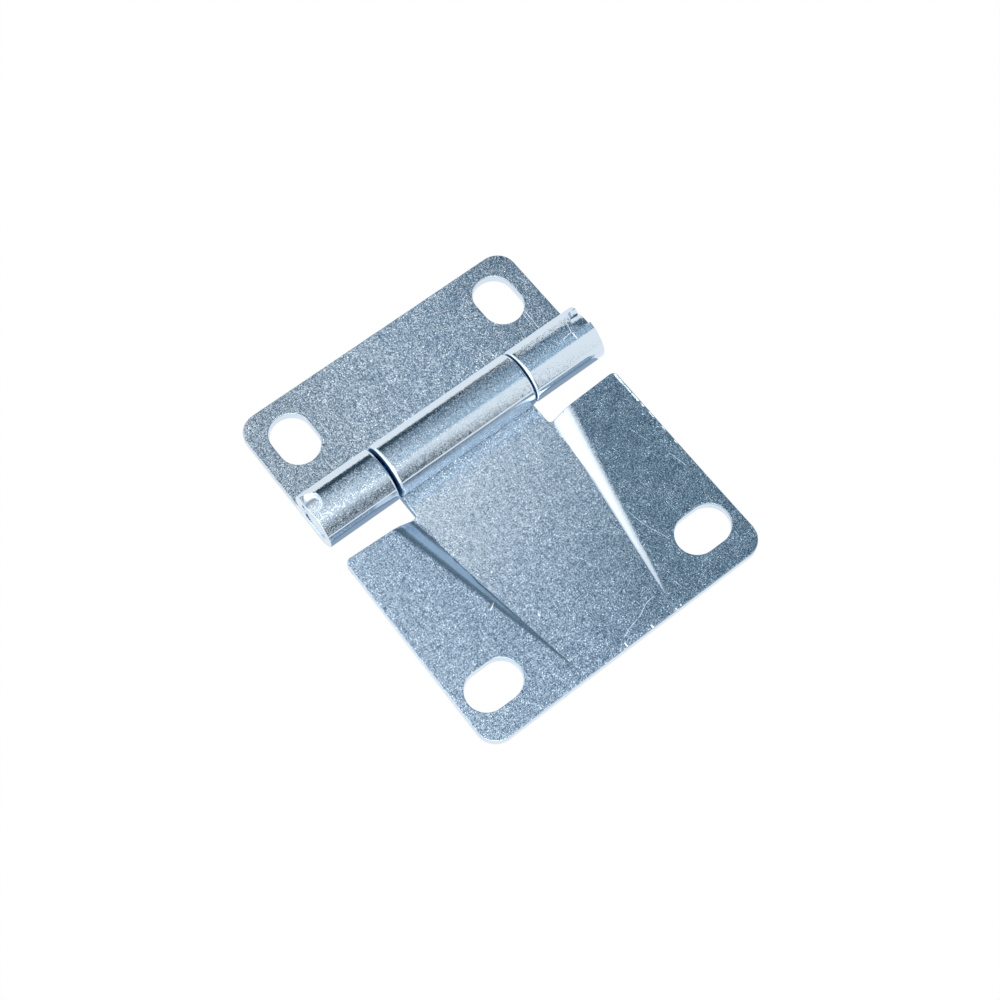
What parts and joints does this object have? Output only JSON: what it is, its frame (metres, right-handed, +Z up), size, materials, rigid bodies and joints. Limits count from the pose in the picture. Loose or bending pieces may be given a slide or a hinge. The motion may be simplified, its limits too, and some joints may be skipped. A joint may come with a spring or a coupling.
{
  "type": "garage door hinge",
  "caption": "Flat butt hinge of zinc-plated steel sheet: a small leaf and a longer pressed leaf with a tapering centre panel, slotted for screws, on a staked pin.",
  "frame": {"origin": "on the surface that the open hinge lies on, under the middle of its outline", "axes": "+X along the pin, +Y towards the small leaf, +Z up out of the leaves, on the side where the barrel stands"},
  "size_m": [0.065, 0.0812, 0.0114],
  "materials": {
    "zinc_plated_sheet": "bright zinc plate with blue passivation, fine speckled grain",
    "zinc_plated_pin": "drawn wire, zinc plated"
  },
  "bodies": {
    "fixed_leaf": {"small_leaf": "zinc_plated_sheet", "hinge_pin": "zinc_plated_pin"},
    "swinging_leaf": {"large_leaf": "zinc_plated_sheet"}
  },
  "joints": [
    {"name": "fold", "type": "hinge", "parent": "fixed_leaf", "child": "swinging_leaf", "pos_m": [0, 0.01345, 0.0057], "axis": [-1, 0, 0], "range_deg": [-98, 190]}
  ]
}
